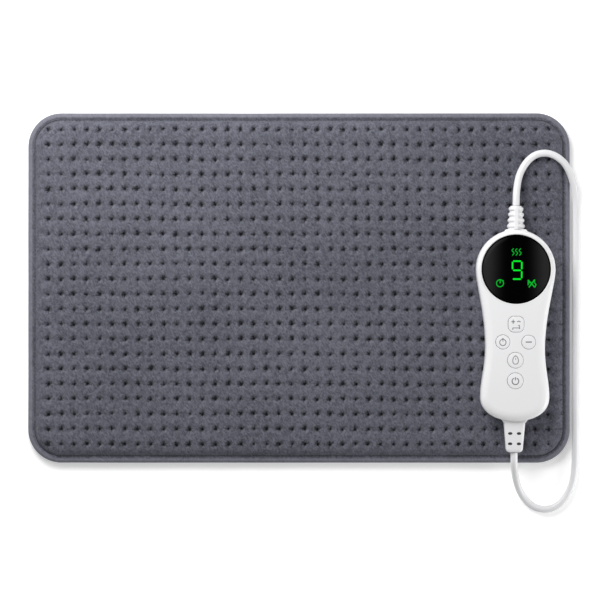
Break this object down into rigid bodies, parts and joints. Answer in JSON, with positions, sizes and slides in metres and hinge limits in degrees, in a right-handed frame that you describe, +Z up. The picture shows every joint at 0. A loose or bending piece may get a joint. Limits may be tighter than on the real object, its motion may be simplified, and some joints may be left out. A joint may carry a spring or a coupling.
{
  "type": "electric heating pad",
  "caption": "Flat quilted plush heating pad with a bound edge, and a wired hand control with a round display and push buttons lying on it.",
  "frame": {"origin": "centre of the pad's box, on the surface it lies on, counted without the lead", "axes": "+X along the pad's long side, towards the hand control; +Y towards the control's round head; +Z up"},
  "size_m": [0.4679, 0.3393, 0.0366],
  "materials": {
    "plush": "short grey velour with small quilted dimples",
    "binding": "grey velour rolled over the edge and stitched down",
    "wadding": "off-white non-woven wadding",
    "wire_jacket": "pale silicone sleeve",
    "lead_jacket": "smooth white soft plastic",
    "white_shell": "white satin moulded plastic",
    "button_white": "white matt plastic with printed grey symbols",
    "white_soft": "white soft moulding",
    "black_lens": "polished black window",
    "board": "green solder mask",
    "dark_part": "black moulded plastic",
    "film_part": "amber dipped coating",
    "terminal": "green moulded plastic",
    "fuse_glass": "clear glass tube with metal caps",
    "screw_steel": "zinc-plated steel"
  },
  "bodies": {
    "root": {"cover_top": "plush", "cover_bottom": "plush", "edge_binding": "binding", "wadding_lower": "wadding", "wire_carrier": "wadding", "wadding_upper": "wadding", "heating_wire": "wire_jacket", "cutout_left": "dark_part", "cutout_right": "dark_part", "thermal_fuse": "screw_steel", "temperature_sensor": "dark_part", "lead_entry": "dark_part", "junction_base": "dark_part", "junction_lid": "dark_part", "lead": "lead_jacket"},
    "hand_control": {"rear_shell": "white_shell", "front_shell": "white_shell", "display_lens": "black_lens", "led_display": "dark_part", "circuit_board": "board", "film_capacitor": "film_part", "controller_chip": "dark_part", "triac": "dark_part", "terminal_top": "terminal", "terminal_bottom": "terminal", "reservoir_capacitor": "dark_part", "buzzer": "dark_part", "glass_fuse": "fuse_glass", "case_screw_1": "screw_steel", "case_screw_2": "screw_steel", "case_screw_3": "screw_steel", "case_screw_4": "screw_steel", "switch_plus": "dark_part", "switch_timer": "dark_part", "switch_minus": "dark_part", "switch_mode": "dark_part", "switch_power": "dark_part", "cord_clamp_top": "white_soft", "cord_clamp_bottom": "white_soft", "clamp_screw_top_a": "screw_steel", "clamp_screw_top_b": "screw_steel", "clamp_screw_bottom_a": "screw_steel", "clamp_screw_bottom_b": "screw_steel", "boot_top": "white_soft", "boot_bottom": "white_soft", "lead_end_top": "lead_jacket", "lead_end_bottom": "lead_jacket"},
    "plus_button": {"button_plus": "button_white"},
    "timer_button": {"button_timer": "button_white"},
    "minus_button": {"button_minus": "button_white"},
    "mode_button": {"button_mode": "button_white"},
    "power_button": {"button_power": "button_white"}
  },
  "joints": [
    {"name": "control_lift", "type": "slide", "parent": "root", "child": "hand_control", "axis": [0, 0, 1], "range_m": [0, 0.04]},
    {"name": "plus_press", "type": "slide", "parent": "hand_control", "child": "plus_button", "axis": [0, 0, -1], "range_m": [0, 0.0006], "stiffness_N_per_m": 1200, "springref_m": -0.0004},
    {"name": "timer_press", "type": "slide", "parent": "hand_control", "child": "timer_button", "axis": [0, 0, -1], "range_m": [0, 0.0006], "stiffness_N_per_m": 1200, "springref_m": -0.0004},
    {"name": "minus_press", "type": "slide", "parent": "hand_control", "child": "minus_button", "axis": [0, 0, -1], "range_m": [0, 0.0006], "stiffness_N_per_m": 1200, "springref_m": -0.0004},
    {"name": "mode_press", "type": "slide", "parent": "hand_control", "child": "mode_button", "axis": [0, 0, -1], "range_m": [0, 0.0006], "stiffness_N_per_m": 1200, "springref_m": -0.0004},
    {"name": "power_press", "type": "slide", "parent": "hand_control", "child": "power_button", "axis": [0, 0, -1], "range_m": [0, 0.0006], "stiffness_N_per_m": 1200, "springref_m": -0.0004}
  ]
}
